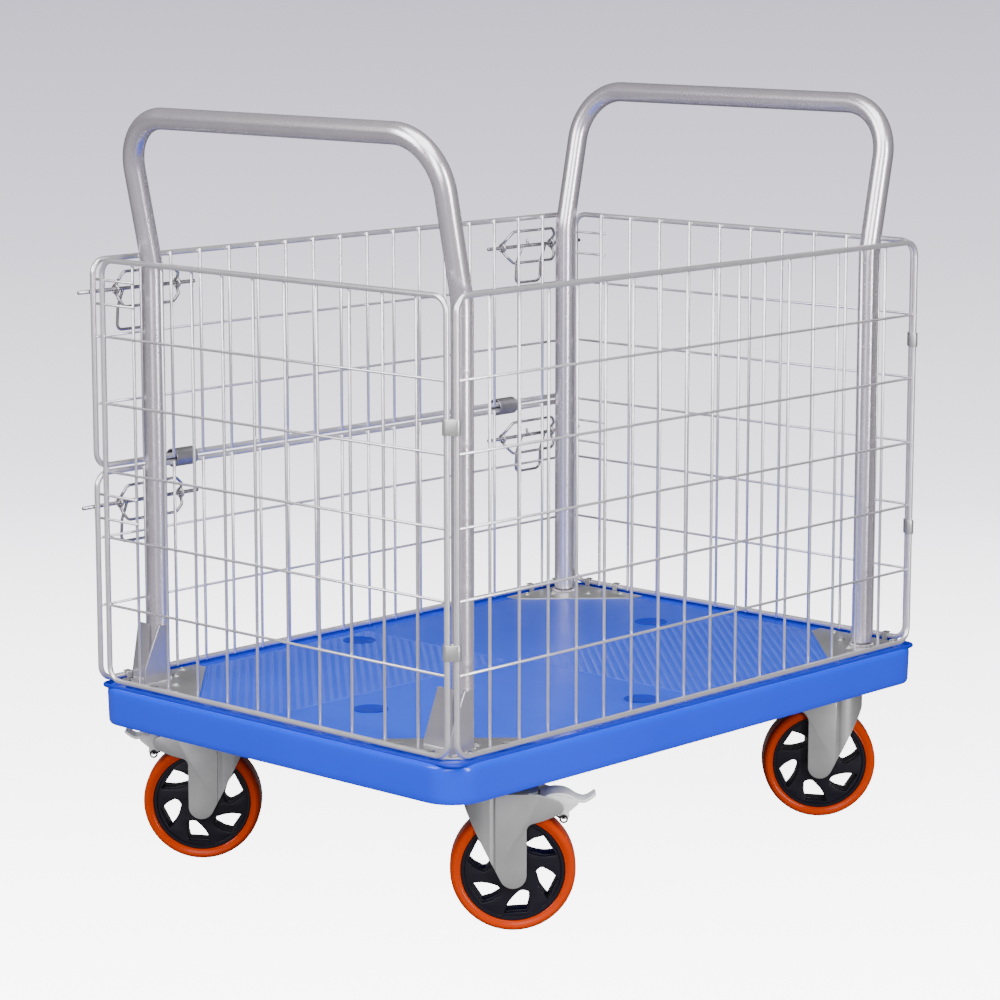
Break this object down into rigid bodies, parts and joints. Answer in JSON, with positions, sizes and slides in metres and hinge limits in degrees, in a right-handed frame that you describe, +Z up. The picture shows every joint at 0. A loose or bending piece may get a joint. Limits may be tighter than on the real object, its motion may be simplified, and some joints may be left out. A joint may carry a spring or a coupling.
{
  "type": "platform cart",
  "caption": "Caged platform cart: blue moulded deck on swivel casters, fixed bent-tube push handles at both ends, wire mesh sides and a two-leaf drop gate with sliding wire latches.",
  "frame": {"origin": "on the ground, under the middle of the deck", "axes": "+Z up; X along the cart with -X the braked front end; +Y towards the drop gate"},
  "size_m": [0.928, 0.671, 0.9602],
  "materials": {
    "blue_plastic": "moulded plastic with a soft gloss",
    "silver_paint": "satin silver paint",
    "zinc_wire": "bright zinc-plated wire",
    "zinc_steel": "zinc-plated pressed steel",
    "black_nylon": "black moulded nylon with a slight sheen",
    "orange_polyurethane": "smooth glossy polyurethane"
  },
  "bodies": {
    "chassis": {"deck": "blue_plastic", "base_plate_front_left": "zinc_steel", "base_plate_front_right": "zinc_steel", "base_plate_rear_left": "zinc_steel", "base_plate_rear_right": "zinc_steel", "push_handle_front": "silver_paint", "push_handle_rear": "silver_paint", "end_gusset_front_left": "silver_paint", "end_gusset_front_right": "silver_paint", "end_gusset_rear_left": "silver_paint", "end_gusset_rear_right": "silver_paint", "side_gusset_front_left": "silver_paint", "side_gusset_front_right": "silver_paint", "side_panel": "zinc_wire", "end_panel_front": "zinc_wire", "end_panel_rear": "zinc_wire", "corner_clip_front_upper": "zinc_steel", "corner_clip_front_lower": "zinc_steel", "corner_clip_rear_upper": "zinc_steel", "corner_clip_rear_lower": "zinc_steel", "mount_plate_front_left": "zinc_steel", "mount_plate_front_right": "zinc_steel", "mount_plate_rear_left": "zinc_steel", "mount_plate_rear_right": "zinc_steel", "kingpin_front_left": "zinc_steel", "kingpin_front_right": "zinc_steel", "kingpin_rear_left": "zinc_steel", "kingpin_rear_right": "zinc_steel"},
    "lower_leaf": {"lower_gate": "zinc_wire", "hinge_sleeve_front": "zinc_steel", "hinge_sleeve_rear": "zinc_steel", "latch_bow_lower_front": "zinc_wire", "latch_bow_lower_rear": "zinc_wire"},
    "upper_leaf": {"upper_gate": "zinc_wire", "latch_bow_upper_front": "zinc_wire", "latch_bow_upper_rear": "zinc_wire"},
    "bolt_upper_front": {"latch_bolt_upper_front": "zinc_wire"},
    "bolt_upper_rear": {"latch_bolt_upper_rear": "zinc_wire"},
    "bolt_lower_front": {"latch_bolt_lower_front": "zinc_wire"},
    "bolt_lower_rear": {"latch_bolt_lower_rear": "zinc_wire"},
    "swivel_front_left": {"fork_front_left": "zinc_steel", "axle_front_left": "zinc_steel"},
    "wheel_front_left": {"wheel_core_front_left": "black_nylon", "tyre_front_left": "orange_polyurethane"},
    "pedal_front_left": {"brake_pedal_front_left": "zinc_steel"},
    "swivel_front_right": {"fork_front_right": "zinc_steel", "axle_front_right": "zinc_steel"},
    "wheel_front_right": {"wheel_core_front_right": "black_nylon", "tyre_front_right": "orange_polyurethane"},
    "pedal_front_right": {"brake_pedal_front_right": "zinc_steel"},
    "swivel_rear_left": {"fork_rear_left": "zinc_steel", "axle_rear_left": "zinc_steel"},
    "wheel_rear_left": {"wheel_core_rear_left": "black_nylon", "tyre_rear_left": "orange_polyurethane"},
    "swivel_rear_right": {"fork_rear_right": "zinc_steel", "axle_rear_right": "zinc_steel"},
    "wheel_rear_right": {"wheel_core_rear_right": "black_nylon", "tyre_rear_right": "orange_polyurethane"}
  },
  "joints": [
    {"name": "lower_leaf_hinge", "type": "hinge", "parent": "chassis", "child": "lower_leaf", "pos_m": [0, 0.302, 0.243], "axis": [-1, 0, 0], "range_deg": [0, 90]},
    {"name": "upper_leaf_hinge", "type": "hinge", "parent": "lower_leaf", "child": "upper_leaf", "pos_m": [0, 0.3065, 0.509], "axis": [-1, 0, 0], "range_deg": [0, 165]},
    {"name": "bolt_upper_front_slide", "type": "slide", "parent": "upper_leaf", "child": "bolt_upper_front", "axis": [1, 0, 0], "range_m": [0, 0.034]},
    {"name": "bolt_upper_rear_slide", "type": "slide", "parent": "upper_leaf", "child": "bolt_upper_rear", "axis": [-1, 0, 0], "range_m": [0, 0.034]},
    {"name": "bolt_lower_front_slide", "type": "slide", "parent": "lower_leaf", "child": "bolt_lower_front", "axis": [1, 0, 0], "range_m": [0, 0.034]},
    {"name": "bolt_lower_rear_slide", "type": "slide", "parent": "lower_leaf", "child": "bolt_lower_rear", "axis": [-1, 0, 0], "range_m": [0, 0.034]},
    {"name": "swivel_front_left_turn", "type": "hinge", "parent": "chassis", "child": "swivel_front_left", "pos_m": [-0.303, -0.226, 0.17], "axis": [0, 0, 1], "continuous": true},
    {"name": "wheel_front_left_spin", "type": "hinge", "parent": "swivel_front_left", "child": "wheel_front_left", "pos_m": [-0.2812, -0.24943, 0.075], "axis": [0.7322, 0.6811, 0], "continuous": true},
    {"name": "pedal_front_left_press", "type": "hinge", "parent": "swivel_front_left", "child": "pedal_front_left", "pos_m": [-0.25396, -0.27871, 0.159], "axis": [0.7322, 0.6811, 0], "range_deg": [0, 18]},
    {"name": "swivel_front_right_turn", "type": "hinge", "parent": "chassis", "child": "swivel_front_right", "pos_m": [-0.303, 0.226, 0.17], "axis": [0, 0, 1], "continuous": true},
    {"name": "wheel_front_right_spin", "type": "hinge", "parent": "swivel_front_right", "child": "wheel_front_right", "pos_m": [-0.3248, 0.24943, 0.075], "axis": [-0.7322, -0.6811, 0], "continuous": true},
    {"name": "pedal_front_right_press", "type": "hinge", "parent": "swivel_front_right", "child": "pedal_front_right", "pos_m": [-0.35204, 0.27871, 0.159], "axis": [-0.7322, -0.6811, 0], "range_deg": [0, 18]},
    {"name": "swivel_rear_left_turn", "type": "hinge", "parent": "chassis", "child": "swivel_rear_left", "pos_m": [0.394, -0.226, 0.17], "axis": [0, 0, 1], "continuous": true},
    {"name": "wheel_rear_left_spin", "type": "hinge", "parent": "swivel_rear_left", "child": "wheel_rear_left", "pos_m": [0.3722, -0.20257, 0.075], "axis": [-0.7322, -0.6811, 0], "continuous": true},
    {"name": "swivel_rear_right_turn", "type": "hinge", "parent": "chassis", "child": "swivel_rear_right", "pos_m": [0.394, 0.226, 0.17], "axis": [0, 0, 1], "continuous": true},
    {"name": "wheel_rear_right_spin", "type": "hinge", "parent": "swivel_rear_right", "child": "wheel_rear_right", "pos_m": [0.3722, 0.24943, 0.075], "axis": [-0.7322, -0.6811, 0], "continuous": true}
  ]
}
